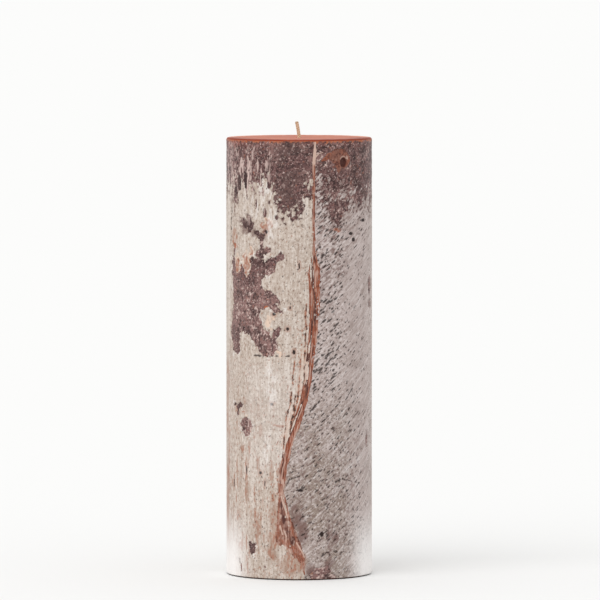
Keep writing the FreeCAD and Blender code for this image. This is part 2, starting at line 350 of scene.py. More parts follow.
# the large worn place left of the vein, where the pale coat has flaked off the brown one: its trunk with the
# leg at its lower right, left limb, crown and upper arm, ragged tips, lower arm, and a scrap below that
wornPlace = [
    [(-47, 138, 10), (-46, 126, 8), (-37, 119, 5), (-26, 112, 5)],
    [(-62, 159, 0.7), (-65, 151, 1.5), (-60, 142, 4), (-61, 131, 2), (-62, 118, 5), (-60, 110, 3)],
    [(-42, 151, 2.5), (-34, 149, 5), (-26, 149, 3), (-19, 153, 2), (-13, 155, 1)],
    [(-33, 155, 2.6), (-24, 158, 1.2)], [(-52, 149, 1.5), (-50, 146, 2)],
    [(-34, 134, 5), (-25, 134, 4), (-19, 130, 1.5), (-14, 128, 1.3)], [(-22, 134, 2), (-16, 132, 0.7)],
    [(-20, 117, 2), (-16, 120, 1)],
]
wornNeck = [(-31, 164, 1.2), (-31, 160, 0.8), (-31, 155, 1.6)]
leftStrip = [(-29, 155, 0.3), (-28, 151, 0.15)]     # a strip of coat left inside the worn place
twoRootSpot = [
    [(-50, 170, 2), (-43, 169, 2.7)], [(-49, 172, 1), (-48, 170, 1)], [(-43, 172, 1), (-43, 166, 1)],
]
forkSpot = [[(-37, 166, 0.8), (-31, 163, 1.6), (-28, 166, 0.8)], [(-31, 163, 1.2), (-31, 161, 0.6)]]
lowDarkSpot = [[(-62, 83, 1), (-54, 83, 1.3)], [(-58, 82, 2), (-57, 79, 0.8)]]
lowBrownSpot = [[(-50, 74, 2.5), (-45, 74, 2.8)], [(-47, 72, 3), (-47, 70, 1.8)]]
rightSpot = [[(30, 177, 3.5), (38, 178, 3)], [(31, 173, 3), (32, 170, 1.5)]]
rightUpperSpot = [[(24, 187, 2), (30, 187, 3.2)], [(28, 184, 1.5), (30, 184, 1.5)]]
baseFlakes = [[(12, 2, 2.5), (20, 3, 3.5), (26, 1, 2.5)]]
tickMark = [[(-42, 17, 0.5), (-40, 13, 1), (-38, 17, 0.6)]]
frontStrands = (
    wornPlace + twoRootSpot + forkSpot + lowDarkSpot + lowBrownSpot + rightSpot + rightUpperSpot
    + baseFlakes + tickMark
)
wornStrands = (
    frontStrands
    + moved(wornPlace, 205, 72, flip=True, size=0.9) + moved(twoRootSpot, 158, 150)
    + moved(forkSpot, 236, 128, size=1.3) + moved(rightSpot, 130, 96, size=1.2)
    + moved(lowBrownSpot, 98, 34) + moved(lowDarkSpot, 222, 30, flip=True)
    + moved(wornPlace, 135, 160, size=0.4) + moved(baseFlakes, 190, 3)
)
darkSpots = twoRootSpot + forkSpot + lowDarkSpot + tickMark + [wornNeck]    # where the wax is nearly black
drips = [(-47, 191, 1.3, 6.5), (-55, 189, 2, 4.5), (-60, 185, 1.5, 4)]
wornOvals = drips + [
    (-28, 175, 1.2, 3), (50, 182, 2.3, 2), (75, 140, 4, 6), (75, 131, 3, 3), (68, 66, 2, 5.5), (-53, 5, 1, 3),
    (-55, 8, 0.7, 2), (13, 189, 1, 1.5), (-36, 179, 0.6, 3), (-28, 6, 0.6, 0.8), (-18, 173, 1.2, 1.5),
    (172, 132, 1.2, 3), (118, 140, 1, 2.2), (245, 92, 1, 4), (148, 48, 0.9, 3), (-98, 120, 1, 3),
]

# places where the terracotta shows through the worn coats
orangeSpots = [
    (-57, 150, 2.7, 4.5), (-46, 150, 2.3, 6), (-41, 156, 1.3, 2.3), (-28, 169, 3, 1.6), (-24, 170, 2, 2),
    (31, 167, 2.6, 1.5), (-27, 130, 1.5, 0.8), (-50, 80, 3, 1.3), (-61, 80, 1.7, 1.4), (-15, 73, 2, 1),
    (-18, 74, 1.5, 0.7), (-62, 160, 2.4, 3), (150, 140, 1.6, 3.4), (230, 150, 2, 4), (118, 88, 2.2, 1.4),
]

# how low the bare brown band under the rim reaches, and how quickly the pale coat takes over below it
bandEdge = [
    (-105, 187), (-62, 186), (-44, 190), (-22, 187), (-16, 178), (-12, 174), (-2, 174), (2, 177), (6, 187),
    (18, 189), (24, 185), (45, 183), (60, 181), (90, 183), (105, 186), (137, 190), (150, 188), (163, 177),
    (175, 173), (186, 178), (197, 188), (212, 189), (233, 180), (255, 187),
]
bandHaste = [
    (-105, 0.4), (-24, 0.5), (-18, 1.1), (4, 1.1), (8, 0.5), (14, 0.3), (40, 0.3), (52, 0.5), (150, 0.5),
    (165, 0.9), (190, 0.9), (205, 0.4), (255, 0.4),
]

# the long vein from its foot to the rim: (up, its middle's turn, half its width in degrees)
veinLine = [
    (41, -14, 1.6), (53, -12, 2.6), (66, -7, 2.7), (77, 0, 2.6), (86, 5, 1.8), (95, 8, 1.7), (107, 10, 2.4),
    (120, 12, 3.3), (134, 13, 3.8), (149, 13, 3.6), (156, 12, 1.2), (180, 11.5, 1), (200, 12, 1),
    (209, 13, 0.6),
]
# how far its thin roots spread at its left, in degrees
veinSpread = [(41, 1), (74, 1), (84, 2), (100, 2), (116, 1), (136, 1), (146, 2), (152, 0.8), (157, 0)]

# the fork at the vein's foot: two legs and the patch between them
forkLegs = [
    [(-15, 46, 0.6), (-16, 34, 0.7), (-17, 24, 0.9), (-17, 20, 0.5)],
    [(-14, 46, 0.6), (-9, 33, 0.6), (-5, 24, 1.3), (0, 16, 1.4), (3, 10, 1), (4, 3, 0.4)],
]
forkPatch = [
    [(-14, 42, 0.8), (-13, 33, 2), (-12, 24, 3.5), (-8, 19, 3.5), (0, 12, 2.6), (3, 8, 1)],
    [(-12, 23, 3), (-15, 19, 2.5)],
]

# the knot: its pointed left end, its round body and its lower tip, and the hole in it
knotShape = [
    [(18, 200, 0.3), (24, 202, 1.8), (30, 202, 3.5), (36, 201, 4.5), (39, 200, 3.2)],
    [(34, 199, 3.5), (32, 195, 1)],
]
knotHole = {"turn": 37, "up": 199, "halfWide": 2.1, "halfTall": 2.6}


def brownRadiusAt(up):
    # the brown coat's own surface: 0.12 mm under the face by the rim and 0.5 mm under it below the band
    return faceRadius - 0.5 + 0.38 * ramp(up, 170, 22)


def palePresence(turn, up):
    # mm inside the pale coat, negative where the brown shows: the frayed worn outlines and the band's edge
    noise = partial(grain, turn, up)
    edge = np.interp(turn, *zip(*bandEdge), period=360)
    haste = np.interp(turn, *zip(*bandHaste), period=360)
    upright = noise(0.9, 3.4, 11, 2)
    lumpy = noise(1.3, 1.5, 12, 2)
    slanting = 0.6 * slantGrain(turn, up, 0.8, 2.4, 48, 13) + 0.5 * lumpy
    rightSide = ramp(turn, 10, 6) * ramp(turn, 75, -20)
    lobe = ramp(turn, -24, 6) * ramp(turn, 8, -4)
    fray = (0.7 * upright + 0.5 * lumpy) * (1 - rightSide) * (1 - lobe)
    fray = fray + slanting * rightSide + 1.5 * lumpy * lobe
    presence = (edge - up) * haste + 8.5 * fray + 1.5 * noise(6, 7, 14)
    presence = np.where(up < 160, 9, presence)
    ragged = 1.2 * noise(1.6, 1.6, 15, 3)
    worn = strands(turn, up, wornStrands) + 1.3 * noise(3.0, 3.0, 16, 3)
    presence = np.minimum(presence, ragged - 0.15 - worn)
    presence = np.minimum(presence, ragged + 3 - 7 * spots(turn, up, wornOvals))
    presence = np.minimum(presence, 0.3 * ragged - 0.2 - 2 * strand(turn, up, wornNeck))
    kept = most(2 * strand(turn, up, leftStrip), 5 * spots(*wandering(turn, up), orangeSpots[:2]) - 0.6)
    return np.where(up < 162, most(presence, kept + 0.5 * ragged), presence)


print("surface fields ready")


# camera, light and floor

studio = {
    "distance": 3.1, "height": 0.319, "across": 0.0004, "aim": 0.13175, "lens": 387.8,
    "skyStrength": 0.97, "sunStrength": 0.95, "sunTurn": -38, "sunRise": 42, "sunSpread": 50,
    "floorColour": "#ebebea", "floorHalf": 300.0,
}

scene = bpy.context.scene
scene.view_settings.view_transform = "Standard"
cameraData = bpy.data.cameras.new("camera")
cameraData.lens = studio["lens"]
cameraData.sensor_width = 36
cameraData.clip_start, cameraData.clip_end = 0.1, 800
camera = bpy.data.objects.new("camera", cameraData)
scene.collection.objects.link(camera)
camera.location = (studio["across"], -studio["distance"], studio["height"])
gaze = Vector((studio["across"], 0, studio["aim"])) - camera.location
camera.rotation_euler = gaze.to_track_quat("-Z", "Y").to_euler()
scene.camera = camera

world = bpy.data.worlds.new("studio")
world.use_nodes = True
world.node_tree.nodes["Background"].inputs["Color"].default_value = hexColour("#ffffff")
world.node_tree.nodes["Background"].inputs["Strength"].default_value = studio["skyStrength"]
scene.world = world

sunData = bpy.data.lights.new("softbox", "SUN")
sunData.energy = studio["sunStrength"]
sunData.angle = math.radians(studio["sunSpread"])
sun = bpy.data.objects.new("softbox", sunData)
scene.collection.objects.link(sun)
sunTurn, sunRise = math.radians(studio["sunTurn"]), math.radians(studio["sunRise"])
towardsSun = Vector((
    math.sin(sunTurn) * math.cos(sunRise), -math.cos(sunTurn) * math.cos(sunRise), math.sin(sunRise),
))
sun.rotation_euler = towardsSun.to_track_quat("Z", "Y").to_euler()

half = studio["floorHalf"]
floorMesh = bpy.data.meshes.new("floor")
floorCorners = [(-half, -half, 0), (half, -half, 0), (half, half, 0), (-half, half, 0)]
floorMesh.from_pydata(floorCorners, [], [(0, 1, 2, 3)])
floor = bpy.data.objects.new("floor", floorMesh)
scene.collection.objects.link(floor)
board, _, boardShader = newFinish("matte white board", 0.9, specular=0.0, sheen=0.0)
boardShader.inputs["Base Color"].default_value = hexColour(studio["floorColour"])
floorMesh.materials.append(board)
print("camera, light and floor ready")


# the brown coat: the rough bark layer, bare under the rim and where the pale coat is worn off

brown = {
    "colour": "#644745", "dark": "#2f201f", "warm": "#8a6a65", "pale": "#cdb5ad", "rust": "#a9603f",
    "flush": "#8a4a3e",
    "grainDepth": 0.16, "inner": 33.2, "lap": 166.0,
}


# thin pale runs in the band at the left
paleRuns = [
    [(-38, 208, 0.15), (-44, 203, 0.3), (-45, 198, 0.35), (-44, 194, 0.4), (-45, 186, 0.7)],
    [(-38, 208, 0.15), (-34, 205, 0.15)], [(-50, 201, 0.2), (-46, 194, 0.3)],
    [(-68, 198, 0.3), (-67, 178, 0.4)], [(-30, 201, 0.15), (-32, 192, 0.3), (-31, 184, 0.6)],
]


def brownField(turn, up):
    # radius of the rough brown coat and where pale wax is left on its high grains, rust, darker wax, and
    # painted shade in its low grains
    noise = partial(grain, turn, up)
    high = noise(1.2, 1.4, 31, 3)
    flecks = noise(0.8, 0.9, 32, 2)
    upright = noise(0.9, 5.5, 33, 2)
    curls = fade(1 - np.abs(noise(2.3, 2.8, 41, 2)) / 0.10)
    patchy = fade((noise(9, 8, 35, 2) + 0.12) / 0.35)
    calm = fade(1 - np.abs(turn + 8) / 22) * ramp(up, 165, 4)
    veiled = fade((34 - np.abs(turn + 50)) / 14) * ramp(up, 166, 10) * ramp(up, 213, -14)
    bloom = curls * ramp(flecks, -0.1, 0.3) * (0.15 + 0.85 * patchy) * (1 - 0.8 * calm)
    bloom = most(bloom, ramp(flecks, 0.34, 0.2) * (0.4 + 0.6 * patchy) * (1 - 0.5 * calm))
    bloom = most(bloom, 0.9 * veiled * ramp(upright, 0.08, 0.2) * ramp(flecks, -0.5, 0.4))
    smooth = fade(spots(turn, up, drips) * 3)
    bloom = most(bloom * (1 - smooth), fade((strands(turn, up, paleRuns) + 0.25 * flecks) / 0.3))
    chips = ramp(up, 12, -4) * ramp(turn, 4, 4) * ramp(turn, 34, -4)
    bloom = most(bloom, chips * fade((noise(1.2, 1.2, 47, 2) - 0.16) / 0.2))
    radius = brownRadiusAt(up) + brown["grainDepth"] * high + 0.06 * bloom - 0.05 * patchy
    hole = spots(turn, up, [(
        knotHole["turn"], knotHole["up"], knotHole["halfWide"] + 0.1, knotHole["halfTall"] + 0.1,
    )])
    radius = np.minimum(radius, faceRadius + 0.1) - 1.5 * fade(hole * 2)
    rust = most(fade(spots(turn, up, orangeSpots) * 2), 0.9 * fade((up - 208.3 + 1.4 * flecks) / 1.0))
    flush = 0.35 + 0.65 * ramp(turn, -35, -25) * ramp(turn, -110, 20)
    flush = fade((up - 203 + 2.5 * flecks) / 6) * flush
    # painted shade: the lowest grains are darkened; the calm strip, the drips and the dark spots are darker
    # wax
    darkToneAndGrainShade = most(ramp(high, -0.12, -0.3), 0.85 * calm * ramp(patchy, 0.3, 0.5))
    darkToneAndGrainShade = most(darkToneAndGrainShade, smooth)
    blackened = fade((strands(turn, up, darkSpots) + 1.5) / 1.5)
    darkToneAndGrainShade = most(darkToneAndGrainShade, 0.9 * blackened * ramp(flecks, 0.55, -0.5))
    lifted = ramp(up, 163, -3) * fade((0.62 + 0.9 * noise(9, 9, 40)) / 0.5)
    return radius, {
        "bloom": bloom, "rust": rust, "darkToneAndGrainShade": darkToneAndGrainShade, "warm": most(patchy * 0.8, lifted), "flush": flush,
    }


def brownWax():
    # paraffin wax dyed dark and dipped hot, so it sets as rough as bark: plum-brown, dull, with lighter curls
    # and specks where the grains stand high; the grains are about 1 mm
    material, tree, shader = newFinish("dark dipped paraffin wax", 0.55)
    field = {
        name: add(tree, "Attribute", out="Fac", attribute_name=name)
        for name in ("bloom", "rust", "darkToneAndGrainShade", "warm", "flush")
    }
    place = add(tree, "TexCoord", out="Object")
    fine = pattern(tree, place, 1.0, detail=3, rough=0.65)
    flecked = pattern(tree, place, 0.7, detail=1)
    coarse = pattern(tree, place, 5.0, detail=3)
    rusty = pattern(tree, place, 1.5, detail=1)
    colour = layered(tree, brown["colour"], [
        (brown["warm"], field["warm"], 0.2, 1.0, 0.8),
        (brown["flush"], field["flush"], 0.1, 1.0, 0.8),
        (brown["warm"], fine, 0.52, 0.64, 0.7),
        (brown["dark"], fine, 0.47, 0.36, 0.9),
        (brown["rust"], rusty, 0.67, 0.73, 0.35),
        (brown["dark"], coarse, 0.50, 0.66, 0.6),
        (brown["pale"], flecked, 0.635, 0.71, 0.8),
        # painted shade in the low grains, with darker wax
        (brown["dark"], field["darkToneAndGrainShade"], 0.1, 1.0, 0.65),
        (brown["pale"], field["bloom"], 0.1, 1.0, 0.9),
        (brown["rust"], field["rust"], 0.1, 0.8, 0.9),
    ])
    dress(tree, shader, colour, fine, 0.8, coarse, 0.45, 0.7)
    return material


darkWax = brownWax()
bandTop = brownTop + 0.4        # the rough rim of the dip, just under the top face
bandRows = np.linspace(brown["lap"] - 1.5, bandTop, 106)
wallTurns = np.concatenate([        # closer together on the left, where the coat is worn most
    np.linspace(-80, -5, 120, endpoint=False), np.linspace(-5, 280, 192, endpoint=False),
])
wallRows = np.linspace(coatFoot, brown["lap"], 285)
for name, turns, rows, step in (
    ("brown_band", np.arange(520) * 360 / 520 - 180, bandRows, 20), ("brown_wall", wallTurns, wallRows, 12),
):
    turnNow, upNow = np.meshgrid(turns, rows)
    radiusNow, fieldsNow = brownField(turnNow, upNow)
    piece = sheet(name, turnNow, upNow, radiusNow, 0 * upNow + brown["inner"], step, True, fieldsNow)
    dressPiece(piece, ["brown_coat"], darkWax)


# the pale coats: thin skins brushed over the brown one

coat = {
    "face": faceRadius - 0.03, "inner": 33.9, "top": 196.0, "pitDepth": 0.3,
    "left": {
        "name": "brushed cream paraffin skin", "colour": "#baab9f", "pale": "#dbd2ca", "shade": "#9a8679",
        "speck": "#7d6154", "lean": 0.0, "streak": (0.9, 9), "broad": (3.5, 9), "grit": 0.55, "rusty": 0.6,
    },
    "right": {
        "name": "brushed grey paraffin skin", "colour": "#b2a39e", "pale": "#d3c8c5", "shade": "#84726b",
        "speck": "#57443f", "lean": 50.0, "streak": (0.7, 9), "broad": (2.0, 6), "grit": 0.7, "rusty": 0.0,
    },
    "back": {
        "name": "brushed beige paraffin skin", "colour": "#b0a096", "pale": "#cdc0b7", "shade": "#8c776d",
        "speck": "#6c544b", "lean": 0.0, "streak": (1.0, 14), "broad": (3.0, 8), "grit": 0.45, "rusty": 0.4,
    },
    # the bloom colour also paints the white floor's reflection near the foot and a highlight along worn edges
    "thin": "#6e524c", "dark": "#241613", "rust": "#985638", "bloom": "#f2efed", "moss": "#7c6b5c",
    "cream": "#dcc0ac", "tan": "#96705b",
}

# small round pits with a rust halo, then thin cracks, the vein's stray roots and a dark stain
blackPits = [
    (48, 162, 1.3, 1.2), (45, 165, 1.6, 0.8), (61, 171, 1.8, 1), (-27, 166, 1.2, 1), (0, 150, 0.5, 1.7),
    (-9, 120, 0.9, 0.9), (-4, 109, 0.8, 1.3), (-20, 127, 0.9, 1), (-22, 84, 0.8, 0.8), (-32, 51, 0.8, 0.9),
    (-28, 46, 0.4, 1.6), (18, 22, 1.2, 1.4), (-7, 130, 0.6, 0.7), (1, 43, 1.4, 0.9), (-63, 45, 0.5, 2.4),
    (-46, 52, 0.4, 2.6), (160, 100, 0.9, 0.9), (205, 60, 0.8, 0.8), (240, 170, 1, 0.9),
]
cracks = [
    [(-65, 194, 0.4), (-67, 178, 0.5), (-69, 160, 0.5)], [(-40, 107, 0.4), (-27, 107, 0.5), (-6, 107, 0.3)],
    [(31, 47, 0.9), (36, 48, 0.4), (50, 46, 0.15), (65, 44, 0.15)],
    [(7, 8, 0.35), (17, 11, 0.5), (22, 13, 0.35), (34, 13, 0.15), (67, 11, 0.1)],
    [(-10, 45, 0.25), (-8, 48, 0.2), (1, 50, 0.15)], [(9, 81, 0.5), (14, 84, 0.6), (18, 87, 0.4)],
    [(22, 132, 0.5), (29, 137, 0.5)], [(21, 106, 0.7), (26, 109, 0.5)], [(40, 86, 0.5), (47, 91, 0.5)],
    [(38, 78, 0.4), (44, 82, 0.4)], [(172, 90, 0.25), (186, 89, 0.3), (204, 89, 0.2)],
    [(120, 64, 0.3), (134, 62, 0.35), (150, 62, 0.2)],
]
roots = [
    [(-3, 106, 0.3), (-5, 97, 0.45), (-5, 94, 0.4)],
    [(-6, 90, 0.45), (-7, 84, 0.4), (-10, 78, 0.3), (-12, 66, 0.3), (-13, 58, 0.25)],
    [(1, 106, 0.25), (0, 94, 0.35), (-1, 87, 0.6), (-4, 80, 0.5), (-6, 76, 0.6), (-7, 70, 0.4)],
    [(-3, 88, 0.35), (-5, 77, 0.3)], [(5, 118, 0.3), (4, 96, 0.35), (1, 84, 0.3)],
    [(6, 132, 0.35), (5, 126, 0.5), (6, 120, 0.4)], [(6, 143, 0.4), (8, 145, 0.3), (6, 147, 0.3)],
]
stainLine = [(22, 32, 0.2), (24, 24, 0.6), (22, 17, 0.6), (26, 9, 0.4)]
creamSpots = [
    (-25, 123, 2.7, 2.6), (-21, 126, 1.6, 2), (-28, 138, 1.6, 1.4), (-46, 78, 2.6, 0.9), (-41, 156, 1.8, 3.2),
    (-46, 150, 2.9, 7.2), (-57, 150, 3.3, 5.4), (34, 175, 1.4, 1.3), (-15, 108, 1.6, 0.9), (-26, 131, 2, 1.2),
    (-25, 171, 2, 1.6),
]
plumPlaces = [
    (-1, 31, 4.4, 9), (3, 23, 3.4, 7), (9, 5, 3, 4), (25, 20, 2.2, 8), (30, 20, 2, 4), (24, 8, 3, 3),
]
whitePlaces = [
    (-27, 184, 4, 10), (-22, 170, 4, 10), (-38, 178, 3, 7), (-22, 92, 4, 14), (-26, 62, 3, 12),
    (120, 150, 5, 12), (200, 110, 6, 16),
]
tanPlaces = [
    (-20, 31, 3.4, 14), (-21, 17, 4.2, 9), (-6, 9, 9, 8), (-62, 163, 3.4, 6), (-35, 24, 1.6, 9),
    (-14, 49, 3, 11), (-22, 52, 1.4, 6), (-46, 42, 1.4, 12), (-58, 50, 1, 10), (-64, 30, 1, 12),
]


def veinSides(up):
    # the turns of the long vein's left and right sides
    heights, middles, halves = zip(*veinLine)
    middle, half = np.interp(up, heights, middles), np.interp(up, heights, halves)
    return middle - half, middle + half


def seamAt(up):
    # the angle where the left and right coats meet, under the vein and the fork's right leg
    middle = sum(veinSides(up)) / 2
    turns, heights, _ = zip(*reversed(forkLegs[1]))
    leg = np.interp(up, heights, turns)
    return np.where(up < 44, leg, middle)


def coatField(turn, up):
    # radius of the pale coat, which dips under the brown one where it is worn off, and what colours it
    noise = partial(grain, turn, up)
    side = turn - seamAt(up)
    brushed = ramp(side, -0.5, 2) * ramp(turn, 100, -25)
    brushed = most(brushed, 0.8 * ramp(turn, 185, 20) * ramp(turn, 250, -15))
    presence = palePresence(turn, up)
    upright = noise(1.1, 26, 21, 2)
    strokes = slantGrain(turn, up, 0.75, 6, 50, 22)
    fine = noise(0.9, 1.1, 42, 2)
    lumpy = noise(1.8, 1.8, 30, 2)
    relief = 0.05 * noise(24, 30, 23) + 0.035 * fine
    relief = relief + 0.03 * upright * (1 - brushed) + 0.04 * strokes * brushed
    groove = fade(1 - np.abs(turn + 74 + 0.8 * noise(9, 30, 36)) / 2.6) * ramp(up, 112, 8)
    bunch = fade(0.55 + 1.5 * noise(5, 8, 24))
    # hatching is densest beside the vein and lies along the brush; it spreads and turns to dots lower down
    dashZone = ramp(side, 0.5, 3) * ramp(side, 33, -14) * ramp(up, 70, 35) * ramp(up, 194, -8)
    wideZone = ramp(side, 1, 4) * ramp(turn, 66, -20) * ramp(up, 128, -25) * ramp(up, 8, 14)
    hatch = fade((slantGrain(turn, up, 0.62, 2.4, 54, 46) + 0.4 * fine - 0.22) / 0.25)
    upperZone = ramp(side, 1, 4) * ramp(turn, 72, -25)
    upperZone = upperZone * ramp(up, 138, 22) * ramp(up, 190, -10)
    hatch = hatch * most(dashZone * ramp(up, 118, 30), 0.65 * upperZone)
    crumbs = fade((0.8 * fine + 0.45 * slantGrain(turn, up, 0.8, 1.4, 40, 64) - 0.16) / 0.22)
    hatch = most(hatch, 0.7 * crumbs * wideZone * ramp(up, 100, -35))
    scratches = fade((slantGrain(turn, up, 0.55, 13, 53, 50) - 0.38) / 0.25)
    scratches = scratches * ramp(turn, 18, 12) * ramp(up, 150, -25)
    chance = 0.06 + 0.34 * dashZone * bunch + 0.12 * wideZone + 0.16 * upperZone
    dashes = marks(turn, up, 25, (2.4, 1.2), (0.9, 3.4), (0.45, 0.95), 52, chance)
    chance = 0.36 * dashZone * ramp(side, 27, -8)
    thick = marks(turn, up, 43, (3.4, 2.1), (1.4, 4.4), (0.9, 1.4), 53, chance)
    chance = 0.12 + 0.4 * bunch * ramp(up, 105, -40) * wideZone
    dots = marks(turn, up, 27, (1.9, 1.5), (0.5, 1.8), (0.45, 1.0), 32, chance)
    chance = 0.24 + 0.3 * ramp(side, -34, 20)
    pits = marks(turn, up, 26, (3.2, 2.3), (0.5, 1.5), (0.35, 0.8), 3, chance)
    holes = spots(turn, up, blackPits)
    scars = most(brushed * most(dashes, 0.85 * dots), 0.8 * (1 - brushed) * pits)
    scars = most(scars, brushed * thick)
    lines = strands(turn, up, cracks) / 0.5 + 1.5 * noise(1.2, 1.2, 28, 2) - 0.1
    scars = most(scars, 0.85 * fade(lines + 0.15))
    stained = fade((strand(turn, up, stainLine) + 2.6 * noise(1.5, 2.6, 51, 2)) / 0.9)
    scars = most(scars, 0.45 * stained * ramp(fine, 0.1, 0.25))
    rootLine = strands(turn, up, roots) + 0.45 * noise(0.9, 1.4, 29, 2)
    rooted = ramp(rootLine, -0.15, 0.4)
    scars = most(most(scars, 0.7 * rooted * ramp(fine, -0.1, 0.3)), 1.4 * fade(holes * 2.4))
    brownNow = brownRadiusAt(up)
    cover = ramp(presence, -0.25, 0.6)
    outer = brownNow - 0.16 + (coat["face"] + relief - brownNow + 0.16) * cover
    outer = outer - coat["pitDepth"] * fade(scars * 1.4) * cover - 0.12 * groove
    left = 1 - brushed
    low = ramp(up, 105, -50) * ramp(turn, -22, -16) * ramp(turn, -95, 8)
    streaky = fade((noise(1.0, 9, 37, 2) - 0.02) / 0.3) * fade((noise(2.4, 5, 44, 2) + 0.1) / 0.3)
    edgeRun = fade(1 - np.abs(turn + 77) / 9) * ramp(up, 112, -20) * fade((noise(2, 20, 48) + 0.5) / 0.5)
    edgeRun = edgeRun * (0.4 + 0.6 * fade((noise(0.9, 5, 69, 3) + 0.08) / 0.2))
    rust = most(0.6 * low * streaky * ramp(fine, -0.25, 0.3), 0.5 * edgeRun)
    halos = [(middle, height, 2 * wide + 0.5, 2 * tall + 0.5) for middle, height, wide, tall in blackPits]
    rust = most(rust, 0.4 * fade(spots(turn, up, halos) * 1.2) * left)
    speckle = marks(turn, up, 39, (2.4, 1.8), (0.6, 2.0), (0.4, 0.9), 0, 0.5)
    nearVein = ramp(side, -24, 14) * ramp(up, 140, -30) * left
    rust = most(rust, fade(speckle * 1.6) * most(0.95 * nearVein, 0.55 * left * ramp(up, 125, -20)))
    veinSide = ramp(side, -11, 4) * ramp(side, 1, -3) * ramp(up, 116, -8) * ramp(up, 58, 12)
    rust = most(rust, most(0.95 * rooted, 0.4 * veinSide * fade((noise(0.9, 7, 49, 2) + 0.1) / 0.4)))
    orange = spots(*wandering(turn, up), orangeSpots)
    rust = most(rust, fade(orange * 1.5 + 0.9 * lumpy * fade(orange * 4)) * (0.75 + 0.5 * fine))
    mottled = most(0, 0.8 + 0.9 * noise(2.2, 3.2, 38, 3))
    plum = fade(spots(turn, up, plumPlaces) * mottled * 1.5)
    tan = fade(spots(turn, up, tanPlaces) * mottled * 1.4)
    tan = most(most(0.7 * tan, 0.7 * low * streaky), edgeRun)
    rust = most(rust, 0.9 * tan * fade((noise(0.9, 3.2, 55, 2) - 0.08) / 0.2))
    thin = fade(1 - (presence - 0.2) / 2.2) * ramp(up, 158, 8) * fade((0.35 + fine) / 0.5)
    thin = most(most(thin, 0.85 * hatch), most(plum, 0.8 * stained))
    # painted reflection of the white floor: the coat lightens near the foot towards the sides
    wrapped = np.abs((turn + 180) % 360 - 180)
    paintedFootReflection = ramp(up, 38, -32) * ramp(wrapped, 38, 26) * (1 - 0.5 * ramp(wrapped, 85, 40))
    far = most(ramp(turn, 62, 38), ramp(turn, -78, -25))
    # painted highlight: a light band just inside the coat's worn edges, on the left coat below 165 mm
    paintedEdgeHighlight = fade(1 - np.abs(presence - 0.6) / 0.5) * ramp(up, 165, -10) * left
    paintedEdgeHighlight = paintedEdgeHighlight * fade((noise(3, 3, 45) - 0.1) / 0.3)
    calm = 0.13 * left * ramp(up, 108, -10) * ramp(up, 40, 20)
    calm = calm * ramp(turn, -52, 12) * (1 - rooted)
    chalky = fade((noise(1.0, 3.2, 65, 3) + 0.1) / 0.35)
    calm = most(calm, 0.45 * chalky * fade(spots(turn, up, whitePlaces) * 1.6) * (1 - rooted))
    # the bloom field mixes real bloom and scratches with the painted reflection and the painted highlight
    bloom = most(most(paintedFootReflection, 0.6 * paintedEdgeHighlight), most(0.26 * scratches * fade(0.6 + 1.6 * lumpy), calm))
    cream = spots(*wandering(turn, up), creamSpots)
    cream = fade(cream * 1.8 + 1.1 * lumpy * fade(cream * 4)) * (0.8 + 0.5 * fine)
    cream = cream * (1 - fade(orange * 1.8 + 0.4 * lumpy))
    cream = most(cream, 0.35 * veinSide) * (1 - rooted)
    moss = ramp(up, 98, -40) * ramp(turn, 56, -24) * brushed * (0.7 + 0.6 * noise(7, 9, 70, 2))
    return outer, {
        "thin": thin, "dark": most(0.88 * fade(scars * 1.6), fade(holes * 3)), "rust": rust,
        "bloom": bloom, "cream": cream, "tan": tan, "groove": groove, "moss": moss, "far": far,
        "grit": 1 - 0.65 * brushed * ramp(turn, 34, 14) * ramp(up, 186, -10) * ramp(up, 20, 20),
    }


